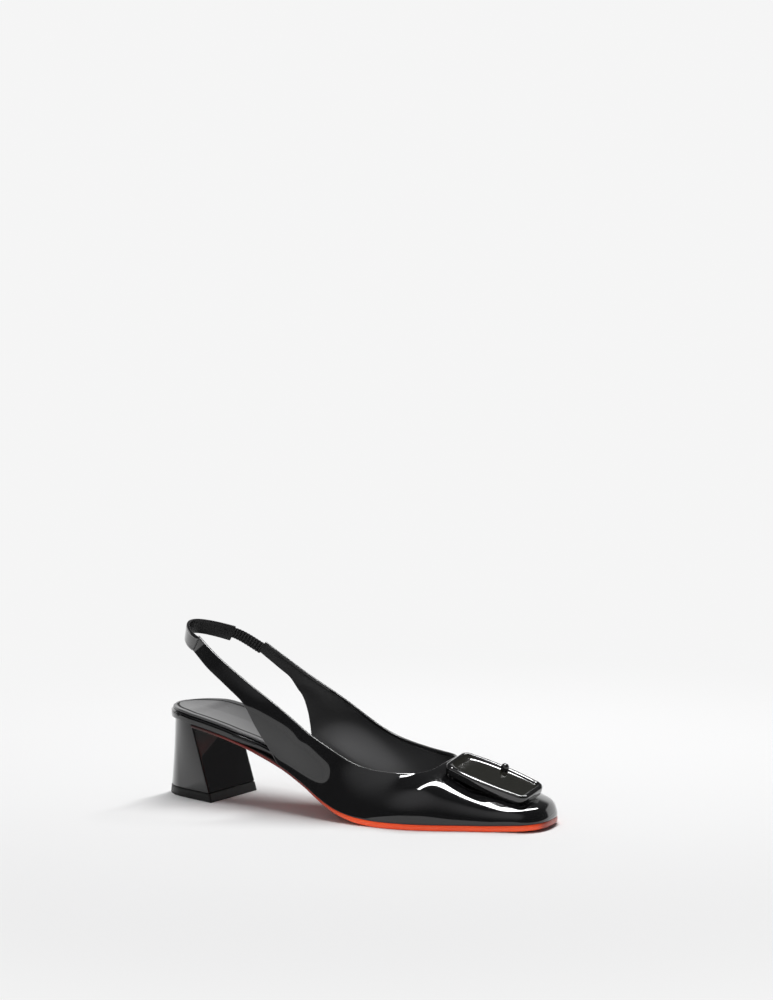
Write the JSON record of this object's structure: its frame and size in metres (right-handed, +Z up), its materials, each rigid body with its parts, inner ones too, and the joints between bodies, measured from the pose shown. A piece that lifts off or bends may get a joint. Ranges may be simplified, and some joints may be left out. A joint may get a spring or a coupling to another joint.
{
  "type": "slingback pump",
  "caption": "Closed square-toe slingback pump with a low topline, a flared block heel, a covered buckle on the vamp and a strap round the back with an elastic gusset.",
  "frame": {"origin": "on the floor, below the middle of the shoe's bounding box", "axes": "+X from heel to toe, +Y towards the inner (medial) side of the foot, +Z up"},
  "size_m": [0.2478, 0.078, 0.1021],
  "materials": {
    "patent_leather": "high gloss patent",
    "sole_leather": "smooth coloured leather",
    "sock_leather": "semi gloss",
    "lift_rubber": "satin",
    "elastic": "matt ribbed",
    "buckle_gloss": "high gloss",
    "buckle_panel": "gloss"
  },
  "bodies": {
    "root": {"outsole": "sole_leather", "insole_board": "patent_leather", "sock_lining": "sock_leather", "heel_block": "patent_leather", "top_lift": "lift_rubber", "upper": "patent_leather", "back_strap": "patent_leather", "elastic_gusset": "elastic", "buckle_frame": "buckle_gloss", "buckle_plate": "buckle_panel", "buckle_pin": "buckle_gloss"}
  },
  "joints": []
}
